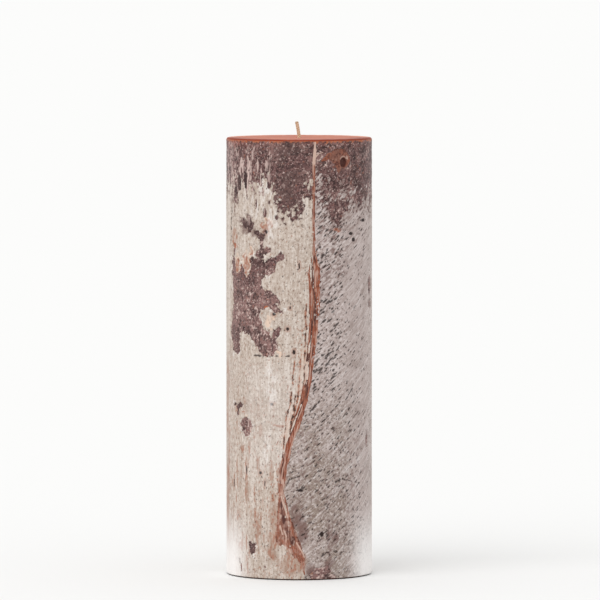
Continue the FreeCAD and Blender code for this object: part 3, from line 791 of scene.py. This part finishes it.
def paleWax(look):
    # white paraffin wax brushed on in a thin skin over the dark coat: dry and dull, streaked along the brush
    # with fine pores and a bloom; streaks are about 1 mm wide and pores 0.7 mm; the bloom layer also carries
    # a painted reflection of the white floor near the foot and a painted highlight along the worn edges
    material, tree, shader = newFinish(look["name"], 0.55)
    wrap = add(tree, "Attribute", out="Vector", attribute_name="wrap")
    field = {
        name: add(tree, "Attribute", out="Fac", attribute_name=name)
        for name in ("thin", "dark", "rust", "bloom", "cream", "tan", "groove", "moss", "grit", "far")
    }
    cloudy = pattern(tree, wrap, 22, stretch=1.5, detail=3)
    streaks = pattern(tree, wrap, look["streak"][0], stretch=look["streak"][1], lean=look["lean"], detail=3)
    broad = pattern(tree, wrap, look["broad"][0], stretch=look["broad"][1], lean=look["lean"], detail=2)
    pores = pattern(tree, wrap, 1.1, stretch=1.5, lean=look["lean"], detail=3, rough=0.65)
    soft = pattern(tree, wrap, 5.0, stretch=1.3, detail=4)
    dotted = pattern(tree, wrap, 0.75, stretch=1.4, lean=look["lean"], detail=1)
    sparse = pattern(tree, wrap, 1.3, stretch=1.2, detail=1)
    pores = add(tree, "Mix", {0: field["grit"], 2: 0.5, 3: pores})
    colour = layered(tree, look["colour"], [
        (coat["back"]["colour"], field["far"], 0.0, 1.0, 1.0),
        (look["shade"], cloudy, 0.5, 0.75, 0.45),
        (coat["moss"], field["moss"], 0.0, 1.0, 0.75),
        (look["pale"], broad, 0.48, 0.65, 0.45),
        (look["pale"], streaks, 0.52, 0.68, 0.45),
        (look["shade"], streaks, 0.46, 0.3, 0.5),
        (look["shade"], soft, 0.52, 0.7, 0.45),
        (look["pale"], pores, 0.54, 0.64, look["grit"]),
        (look["shade"], pores, 0.46, 0.38, look["grit"]),
        (look["speck"], pores, 0.39, 0.31, 0.85),
        (look["speck"], dotted, 0.655, 0.71, 0.85),
        (coat["rust"], sparse, 0.70, 0.75, look["rusty"]),
        (look["pale"], field["groove"], 0.2, 0.8, 0.6),
        (coat["tan"], field["tan"], 0.05, 1.0, 0.8),
        (coat["thin"], field["thin"], 0.05, 1.0, 0.8),
        (coat["rust"], field["rust"], 0.05, 1.0, 0.85),
        (coat["cream"], field["cream"], 0.05, 1.0, 0.9),
        (coat["dark"], field["dark"], 0.2, 1.0, 0.98),
        # bloom: real bloom, plus the painted floor reflection and the painted edge highlight
        (coat["bloom"], field["bloom"], 0.0, 1.0, 0.85),
    ])
    dress(tree, shader, colour, pores, 0.4, broad, 0.45, 0.65)
    return material


def coatPiece(name, node, look, turnLow, turnHigh, columns, rows, step):
    # a coat between two angles, which may change with height
    upNow = np.linspace(coatFoot, coat["top"], rows)[:, None] + np.zeros((1, columns))
    share = np.linspace(0, 1, columns)[None, :]
    turnNow = turnLow(upNow) * (1 - share) + turnHigh(upNow) * share
    radiusNow, fieldsNow = coatField(turnNow, upNow)
    foot = fade((upNow - coatFoot) / 0.5)
    radiusNow = radiusNow - 0.12 * (1 - foot)
    inner = np.minimum(0 * upNow + coat["inner"], radiusNow - 0.2)
    piece = sheet(name, turnNow, upNow, radiusNow, inner, step, False, fieldsNow)
    return dressPiece(piece, [node], paleWax(look))


def raggedEdge(up, middle, place, tall, seed):
    # the turn of an upright edge where brush strokes run out: it wanders by 5 degrees and frays by 1.6
    wander = grain(0 * up + place, up, 40, tall, seed)
    return middle + 5 * wander + 1.6 * grain(0 * up + place, up, 40, 3, seed + 1, 3)


def rightEdge(up):
    return raggedEdge(up, 105, 12, 34, 66)


def leftEdge(up):
    return raggedEdge(up, -105, 90, 30, 68)


coatPiece("pale_coat_left_skin", "pale_coat_left", coat["left"],
          leftEdge, seamAt, 196, 470, 15)
coatPiece("pale_coat_right_skin", "pale_coat_right", coat["right"],
          seamAt, rightEdge, 181, 490, 15)
coatPiece("pale_coat_back_skin", "pale_coat_back", coat["back"],
          rightEdge, lambda up: leftEdge(up) + 360, 211, 400, 15)


# the veins, the fork and the knot: terracotta wax in relief

vein = {
    "colour": "#8d5f4d", "rust": "#8e4c34", "dark": "#45231f", "cream": "#c9ad9f", "bark": "#7a5044",
    "bite": 0.5,
}


def veinWax(name, fibrous=1.0):
    # terracotta-dyed paraffin run into a crack: semi-dull fibres about 0.6 mm wide, some dark, some creamy,
    # which show as strongly as fibrous says
    material, tree, shader = newFinish(name, 0.5)
    field = {
        kind: add(tree, "Attribute", out="Fac", attribute_name=kind)
        for kind in ("rust", "dark", "cream", "bark")
    }
    wrap = add(tree, "Attribute", out="Vector", attribute_name="wrap")
    fibres = pattern(tree, wrap, 0.6, stretch=9, detail=2)
    fine = pattern(tree, wrap, 0.9, stretch=1.8, detail=3)
    coarse = pattern(tree, wrap, 3.0, stretch=2, detail=3)
    colour = layered(tree, vein["colour"], [
        (vein["bark"], field["bark"], 0.1, 0.9, 0.9),
        (vein["rust"], field["rust"], 0.1, 0.9, 0.9),
        (vein["cream"], fibres, 0.54, 0.68, 0.45 * fibrous),
        (vein["dark"], fibres, 0.47, 0.35, 0.65 * fibrous),
        (vein["cream"], fine, 0.60, 0.72, 0.4),
        (vein["dark"], fine, 0.42, 0.32, 0.6),
        (vein["dark"], field["dark"], 0.1, 0.9, 0.85),
        (vein["cream"], field["cream"], 0.1, 0.9, 0.85),
    ])
    dress(tree, shader, colour, fibres, 0.5, coarse, 0.4, 0.6)
    return material


def waxSkin(name, node, material, field, turn, up, depth, step):
    # a thin piece in relief: field gives its radius and what colours it, and its back lies depth mm deeper
    radius, fields = field(turn, up)
    piece = sheet(name, turn, up, radius, radius - depth, step, False, fields)
    return dressPiece(piece, [node], material)


veinKnots = [
    [(10, 156, 0.4), (13, 153, 0.5), (16, 149, 0.4)], [(14, 157, 0.4), (12, 153, 0.4), (10, 150, 0.4)],
]
veinBranch = [(12, 201, 0.3), (15, 203, 0.3), (19, 204, 0.2)]


def veinField(turn, up):
    # a bundle of fibres: thin roots at its left, dark and creamy in the middle and terracotta at its right,
    # with a painted shadow along the right edge
    noise = partial(grain, turn, up)
    left, right = veinSides(up)
    bundle = left - np.interp(up, *zip(*veinSpread))
    across = (turn - left) / (right - left)
    arc = (turn - (left + right) / 2) * arcPerDegree
    fibres = 0.6 * cloud(arc / 0.6 + 40, up / 9, 51) + 0.4 * cloud(arc / 0.4 + 80, up / 3.5, 52)
    broken = noise(1.2, 2.2, 53, 2)
    branch = strand(turn, up, veinBranch) + 0.1 * noise(1.2, 1.2, 57)
    knots = strands(turn, up, veinKnots) + 0.3 * noise(1.0, 1.2, 58, 2)
    edge = np.minimum(turn - left, right - turn) * arcPerDegree + 0.4 * broken
    rooted = (turn - bundle) * arcPerDegree
    root = np.where((rooted > -0.3) & (across < 0.3), 0.9 * (fibres + 0.4) + 0.6 * broken, -1)
    body = most(most(edge, root), most(branch, knots))
    lift = ramp(body, -0.25, 0.5)
    radius = faceRadius - vein["bite"] + (vein["bite"] + 0.04) * lift + 0.1 * fibres * lift
    single = ramp(up, 153, 4)
    lower = ramp(up, 86, -8)
    foot = ramp(up, 66, -14)
    tip = fade((up - 195 + 5 * noise(2, 4, 54)) / 5)
    main = fade((across - 0.55 + 0.4 * lower) / 0.12)
    rust = most(most(0.55 * single, main * (1 - single)), 0.85 * ramp(fibres, -0.2, 0.3) * (1 - single))
    cream = most(tip, ramp(branch, -0.15, 0.3))
    cream = most(cream, (1 - single) * 0.6 * ramp(fibres, 0.22, 0.15) * ramp(across, -0.1, 0.2))
    cream = most(cream, 0.7 * fade(knots / 0.3) * fade((noise(1, 1, 59) + 0.1) / 0.4))
    cream = most(cream, 0.5 * single * ramp(across, 0.4, -0.3) * ramp(fibres, -0.2, 0.3))
    beads = fade((noise(1.0, 1.2, 87) - 0.1) / 0.2) * ramp(up, 112, 8) * ramp(up, 142, -8)
    cream = most(cream, 0.8 * beads * fade(1 - np.abs(across - 0.93) / 0.14))
    dark = (1 - single) * (1 - main) * ramp(fibres, -0.02, -0.25)
    leftSeam = fade(1 - np.abs(across - 0.12) / 0.14)
    dark = most(dark, 0.8 * (1 - single) * leftSeam * ramp(broken, -0.3, 0.3))
    # painted shadow: darker near the vein's right edge, except at its tip
    dark = most(dark, 0.7 * ramp(edge, 0.1, -0.25) * (1 - tip) * ramp(across, 0.5, 0.2))
    dark = most(dark, 0.8 * ramp(across, 0.2, -0.1) * ramp(root, 0.35, -0.5) * ramp(body, -0.1, 0.2))
    cream = most(cream, 0.75 * foot * fade((noise(1.4, 5, 60, 2) + 0.25) / 0.4))
    bark = 0.5 * fade(-noise(2, 6, 56) / 0.4)
    rust = rust * (1 - 0.4 * foot)
    return radius, {"rust": rust, "dark": dark * (1 - 0.8 * cream), "cream": cream, "bark": bark}


rowsUp = np.linspace(40.5, brownTop, 480)
share = np.linspace(0, 1, 46)[None, :]
lowTurn, highTurn = veinSides(rowsUp[:, None])
lowTurn, highTurn = lowTurn - np.interp(rowsUp[:, None], *zip(*veinSpread)) - 1.6, highTurn + 1.6
branchRoom = fade((rowsUp[:, None] - 199.5) / 1.2) * fade((207 - rowsUp[:, None]) / 2) * 6
turnNow = lowTurn * (1 - share) + (highTurn + branchRoom) * share
upNow = rowsUp[:, None] + 0 * turnNow
waxSkin("long_vein_strands", "long_vein", veinWax("terracotta paraffin vein"),
        veinField, turnNow, upNow, 1.2, 45)


def forkField(turn, up):
    # two legs that part at the top, with dark bark and cream ridges between them and a patch at the foot
    noise = partial(grain, turn, up)
    wander = 0.45 * noise(1.3, 2.6, 61, 3)
    legs = strands(turn, up, forkLegs) + wander
    patch = strands(turn, up, forkPatch) + 1.6 * wander
    body = most(legs, patch)
    lift = ramp(body, -0.3, 0.6)
    ridges = strands(turn, up, [
        [(-14, 40, 0.35), (-12, 36, 0.4), (-9, 30, 0.3)], [(-15, 26, 0.25), (-13, 22, 0.3)],
        [(-12, 24, 0.25), (-10, 21, 0.3)], [(-2, 18, 0.25), (3, 13, 0.3), (4, 11, 0.2)],
    ]) + 0.4 * wander
    rough = noise(0.9, 1.8, 62, 2)
    coarse = noise(2.2, 3.4, 63, 2)
    radius = faceRadius - vein["bite"] + (vein["bite"] + 0.03) * lift + 0.06 * ramp(legs, -0.1, 0.6)
    radius = radius + 0.08 * ramp(ridges, -0.15, 0.3) + 0.06 * rough * lift
    wood = strand(turn, up, [(-14, 39, 0.6), (-13, 33, 1.5), (-11, 26, 1.8), (-8, 21, 1.2)])
    wood = fade((wood + wander) / 0.9)
    blob = strands(turn, up, [
        [(-12, 19, 1), (-8, 17, 1.6), (-4, 15, 1.8), (-1, 11, 2.2), (2, 8, 1.5)],
        [(-17, 25, 1), (-17, 21, 0.8)],
    ])
    glowing = fade((blob + 0.3 + 2.4 * wander) / 1.4) * (0.6 + 0.4 * ramp(coarse, -0.25, 0.4))
    rust = most(0.85 * ramp(legs, -0.1, 0.7), glowing) * (0.4 + 0.6 * ramp(rough, -0.2, 0.35))
    hollows = spots(turn, up, [(-5, 19, 1.5, 2.6), (-14, 36, 0.7, 1.8), (-12, 29, 1, 2.6)])
    dark = most(0.8 * wood * ramp(rough, 0.02, 0.25), fade(hollows * 2 + 0.4 * rough))
    line = strand(turn, up, [(-6, 29, 0.3), (-4, 25, 0.4), (0, 18, 0.45), (3, 14, 0.3)])
    dark = most(dark, 0.85 * fade(line / 0.35 + 0.5 + 0.8 * rough))
    speckled = 0.6 * ramp(coarse, 0.05, 0.25) * (1 - 0.9 * rust) + 0.3 * ramp(rough, 0.2, 0.2)
    cream = most(ramp(ridges, -0.2, 0.35), np.clip(speckled, 0, 1) * (1 - 0.6 * wood))
    bark = 0.35 + 0.55 * wood
    return radius, {"rust": rust, "dark": dark * (1 - 0.8 * cream), "cream": cream, "bark": bark}


turnNow, upNow = np.meshgrid(np.linspace(-23, 11, 70), np.linspace(coatFoot, 47, 130))
waxSkin("forked_vein_skin", "forked_vein", veinWax("terracotta paraffin fork"),
        forkField, turnNow, upNow, 0.8, 23)


def knotField(turn, up):
    # a low boss with a pointed left end and a hole to the right of its middle
    noise = partial(grain, turn, up)
    body = strands(turn, up, knotShape) + 0.9 * noise(1.4, 1.4, 71, 3)
    lift = ramp(body, -0.35, 0.8)
    hole = spots(turn, up, [(knotHole["turn"], knotHole["up"], knotHole["halfWide"], knotHole["halfTall"])])
    radius = faceRadius - 0.55 + 0.6 * lift + 0.06 * noise(1.1, 1.1, 72, 3)
    radius = radius - 1.4 * fade(hole * 1.7)
    around = spots(turn, up, [(knotHole["turn"] - 0.3, knotHole["up"] + 0.5, 2.4, 3.1)]) - fade(hole * 5)
    cream = 0.6 * fade(np.clip(around, 0, 1) * 2) * fade((up - knotHole["up"] - 1.0) / 0.8)
    dark = most(fade(hole * 2.6), 0.3 * fade((noise(1.6, 1.6, 73, 2) - 0.1) / 0.3))
    rim = fade(1 - body / 1.3) * ramp(turn, 28, -6)
    speckled = ramp(turn, 33, 4) * fade((noise(0.9, 0.9, 76, 2) - 0.2) / 0.15)
    cream = most(cream, 0.6 * speckled * (1 - fade(hole * 4)))
    reddish = fade((noise(3, 3, 74, 2) + 0.2) / 0.5)
    dark = most(dark, 0.8 * fade((noise(0.9, 1.0, 75, 2) - 0.18) / 0.2) * (1 - rim))
    dark = most(dark, 0.5 * ramp(body, 0.5, -0.8) * (1 - rim))
    rust = 0.3 * reddish + 0.3 * ramp(turn, 34, 4) + 0.7 * rim
    return radius, {"rust": rust, "dark": dark, "cream": cream, "bark": 0.8 - 0.6 * rim}


turnNow, upNow = np.meshgrid(np.linspace(16, 45.5, 88), np.linspace(191.2, 207.2, 76))
waxSkin("knot_boss", "knot", veinWax("terracotta paraffin knot", fibrous=0.15),
        knotField, turnNow, upNow, 0.4, 29)


# the core, the wick and the base

core = {
    # the foot colour is painted shade: it darkens the base's bottom edge and underside for the shadow line
    # there
    "colour": "#b35a3b", "pale": "#cf8160", "shade": "#934730", "foot": "#431c14", "ring": "#84382a",
    # the light scrape colour is a painted highlight on the back of the top rim
    "scrapesAndRimHighlight": "#eeb193", "rim": 34.65, "dish": 0.35, "hidden": 33.0,
}


def coreWax():
    # solid paraffin dyed terracotta, poured, cut and wiped: even and slightly greasy, with fine scrape
    # streaks;
    # the back of the top rim has a painted highlight and the foot painted shade
    material, tree, shader = newFinish("poured terracotta paraffin", 0.6, specular=0.06)
    field = {
        name: add(tree, "Attribute", out="Fac", attribute_name=name)
        for name in ("paintedFootShade", "ringed", "rim", "scrapesAndRimHighlight")
    }
    place = add(tree, "TexCoord", out="Object")
    cloudy = pattern(tree, place, 14, detail=3)
    scrapesAndRimHighlight = pattern(tree, place, 1.2, stretch=6, lean=35, detail=3)
    colour = layered(tree, core["colour"], [
        (core["pale"], cloudy, 0.45, 0.7, 0.6), (core["shade"], scrapesAndRimHighlight, 0.52, 0.75, 0.5),
        (core["ring"], field["ringed"], 0.0, 1.0, 0.85), (core["scrapesAndRimHighlight"], field["scrapesAndRimHighlight"], 0.0, 1.0, 0.9),
        (brown["colour"], field["rim"], 0.1, 0.9, 0.9),
        (core["foot"], field["paintedFootShade"], 0.1, 0.9, 0.95),
    ])
    dress(tree, shader, colour, scrapesAndRimHighlight, 0.3, cloudy, 0.5, 0.7)
    return material


def lathe(profile, columns):
    # the turns, heights and radii of a profile of (radius, up) points turned once round the axis
    radii, ups = np.array(profile).T
    turn, radius = np.meshgrid(np.arange(columns) * 360 / columns, radii)
    return turn, 0 * turn + ups[:, None], radius


topRings = [(r, coreTop - core["dish"] * (1 - (r / 33) ** 2) ** 2) for r in np.linspace(33.2, 1, 24)]
profile = [
    (1, fillHigh.z), (fillHigh.x - 0.3, fillHigh.z), (fillHigh.x, fillHigh.z - 0.3), (fillHigh.x, 0.4),
    (fillHigh.x + 0.4, 0), (26, 0), (30, 0), (coreRadius - 0.9, 0), (coreRadius - 0.5, 0.05),
    (coreRadius - 0.15, 0.3), (coreRadius - 0.1, 0.9), (core["hidden"], 1.6), (core["hidden"], 60),
    (core["hidden"], 130), (core["hidden"], 207.4), (core["rim"], 208.6), (core["rim"], coreTop - 0.5),
    (core["rim"] - 0.08, coreTop - 0.25), (core["rim"] - 0.25, coreTop - 0.08), (core["rim"] - 0.5, coreTop),
] + topRings
turnNow, upNow, radiusNow = lathe(profile, 256)
uneven = 0.12 * grain(turnNow, upNow, 5, 400, 81, 2) * ramp(radiusNow, 30, 3) * ramp(upNow, 208, 1)
upNow = upNow + np.minimum(uneven, 0)
# painted shade: the lowest 3 mm and the underside ring outside the plug darken for the shadow line at the
# base
paintedFootShade = ramp(upNow, 3, -2) * ramp(radiusNow, 23, 2)
onTop = ramp(upNow, 208, 1)
ringed = fade((radiusNow - 24) / 10 + 0.4 * grain(turnNow, radiusNow, 5, 4, 83, 2)) * onTop
ragged = 0.5 * grain(turnNow, upNow, 2.2, 3, 82, 2)
rim = fade((coreTop - 0.75 + ragged - upNow) / 0.4) * ramp(upNow, 207, 1) * ramp(radiusNow, 34, 0.3)
front = np.cos(np.radians(turnNow))
highlightBreakup = grain(turnNow, radiusNow, 4, 3, 84, 2)
# painted highlight: the outer ring of the top face lightens on its back half, broken up by noise
scrapesAndRimHighlight = fade((radiusNow - 28) / 5 + 0.5 * highlightBreakup) * onTop * ramp(front, 0.2, -0.6)
coreBody = tube("core_body", polar(turnNow, upNow, radiusNow), {
    "paintedFootShade": paintedFootShade, "ringed": ringed * ramp(front, -0.5, 0.8), "rim": rim,
    "scrapesAndRimHighlight": scrapesAndRimHighlight * (0.7 + 0.5 * highlightBreakup),
})
dressPiece(coreBody, ["wax_core"], coreWax())

plug = {"colour": "#b98672", "pale": "#d7b09e", "shade": "#9a6654", "gap": 0.1, "sink": 0.35}
plugRadius, plugTop = fillHigh.x - plug["gap"], fillHigh.z - plug["gap"]
sunkRadius = plugRadius - 0.4       # the wax has sunk in a shallow dish inside this radius
plugProfile = [
    (r, plug["sink"] * (1 - (r / sunkRadius) ** 2)) for r in np.linspace(1, sunkRadius - 0.2, 14)
] + [
    (plugRadius - 0.2, 0.05), (plugRadius, 0.3), (plugRadius, plugTop - 0.4), (plugRadius - 0.3, plugTop),
    (12, plugTop), (1, plugTop),
]
turnNow, upNow, radiusNow = lathe(plugProfile, 96)
fill = tube("base_plug", polar(turnNow, upNow, radiusNow), {"paintedFootShade": 0 * upNow})


def fillWax():
    # paraffin poured round the wick clip to seal the base: paler, cloudy, with shrink rings
    material, tree, shader = newFinish("poured sealing paraffin", 0.4)
    place = add(tree, "TexCoord", out="Object")
    cloudy = pattern(tree, place, 8, detail=3)
    fine = pattern(tree, place, 1.5, detail=2)
    rings = add(tree, "TexWave", {
        "Vector": place, "Scale": 40.0, "Distortion": 1.5, "Detail": 2.0,
    }, out="Fac", wave_type="RINGS", rings_direction="Z")
    colour = layered(tree, plug["colour"], [
        (plug["pale"], cloudy, 0.4, 0.7, 0.7), (plug["shade"], rings, 0.6, 1.0, 0.3),
    ])
    dress(tree, shader, colour, fine, 0.3, cloudy, 0.3, 0.5)
    return material


dressPiece(fill, ["base_fill"], fillWax())

clip = {
    "colour": "#b9bbbd", "dull": "#8f9193", "bright": "#d5d6d8", "gauge": 0.3, "bore": 0.9, "neck": 1.5,
    "edge": 0.12,
}


def clipSteel():
    # tinned steel stamped from thin sheet: bright, with fine scratches from handling
    material, tree, shader = newFinish("stamped tinned steel", 0.3, ior=1.5, specular=0.5, sheen=0.0)
    shader.inputs["Metallic"].default_value = 1.0
    place = add(tree, "TexCoord", out="Object")
    scratches = pattern(tree, place, 0.4, stretch=12, lean=20, detail=3)
    cloudy = pattern(tree, place, 4, detail=2)
    colour = layered(tree, clip["colour"], [
        (clip["dull"], cloudy, 0.5, 0.75, 0.5), (clip["bright"], scratches, 0.6, 0.8, 0.5),
    ])
    dress(tree, shader, colour, scratches, 0.15, cloudy, 0.22, 0.4)
    return material


clipLow, clipHigh = boxMm("wick_clip")
discTop = clipLow.z + clip["gauge"]
clipProfile = [
    (clip["bore"], clipLow.z), (clipHigh.x - clip["edge"], clipLow.z), (clipHigh.x, clipLow.z + clip["edge"]),
    (clipHigh.x, discTop - 0.1), (clipHigh.x - clip["edge"], discTop), (4, discTop), (2.2, discTop + 0.1),
    (clip["neck"], discTop + 0.6), (clip["neck"], clipHigh.z - 0.1), (clip["neck"] - 0.1, clipHigh.z),
    (clip["bore"], clipHigh.z),
]
clipPiece = tube("wick_clip_disc", polar(*lathe(clipProfile, 64)))
dressPiece(clipPiece, ["wick_clip"], clipSteel())

wick = {
    "colour": "#d3b99c", "pale": "#ead8bf", "shade": "#a1805f", "strands": 3, "pitch": 3.4, "depth": 0.16,
    "lean": 1.15,
}


def wickCotton():
    # braided cotton primed with wax: cream, slightly stiff and shiny, with painted shade between the strands
    material, tree, shader = newFinish("waxed braided cotton", 0.6)
    groove = add(tree, "Attribute", out="Fac", attribute_name="groove")
    place = add(tree, "TexCoord", out="Object")
    fibres = pattern(tree, place, 0.35, stretch=4, detail=3)
    cloudy = pattern(tree, place, 3, detail=2)
    colour = layered(tree, wick["colour"], [
        (wick["pale"], fibres, 0.5, 0.7, 0.6), (wick["shade"], groove, 0.3, 1.0, 0.7),
        (wick["shade"], cloudy, 0.55, 0.75, 0.4),
    ])
    dress(tree, shader, colour, fibres, 0.5, cloudy, 0.5, 0.7)
    return material


rowsUp = np.concatenate([
    np.linspace(wickLow.z, coreTop - 2, 260), np.linspace(coreTop - 1.9, wickHigh.z - 0.15, 70),
])
around, rise = np.meshgrid(np.linspace(0, 2 * math.pi, 24, endpoint=False), rowsUp)
free = np.clip((rise - coreTop + 0.5) / (wickHigh.z - coreTop), 0, 1.1)
lobes = np.abs(np.sin(wick["strands"] * 0.5 * (around - rise * 2 * math.pi / wick["pitch"])))
cross = np.abs(np.sin(wick["strands"] * 0.5 * (around + rise * 2 * math.pi / wick["pitch"])))
swell = most(lobes, cross)
ends = 1 - 0.35 * fade((rise - wickHigh.z + 0.5) / 0.4)
radiusNow = wickRadius * (1 - wick["depth"] + wick["depth"] * swell) * ends
points = np.stack([
    radiusNow * np.cos(around) - wick["lean"] * free ** 1.35, radiusNow * np.sin(around),
    rise + 0.12 * radiusNow * np.cos(around) * free,
], -1)
charred = 0.9 * fade((rise - wickHigh.z + 1.3) / 1.0)
# the groove field is painted shade between the strands, and the darker charred tip
wickPiece = tube("braided_wick", points, {"groove": most(ramp(swell, 0.95, -0.4), charred)})
dressPiece(wickPiece, ["wick"], wickCotton())
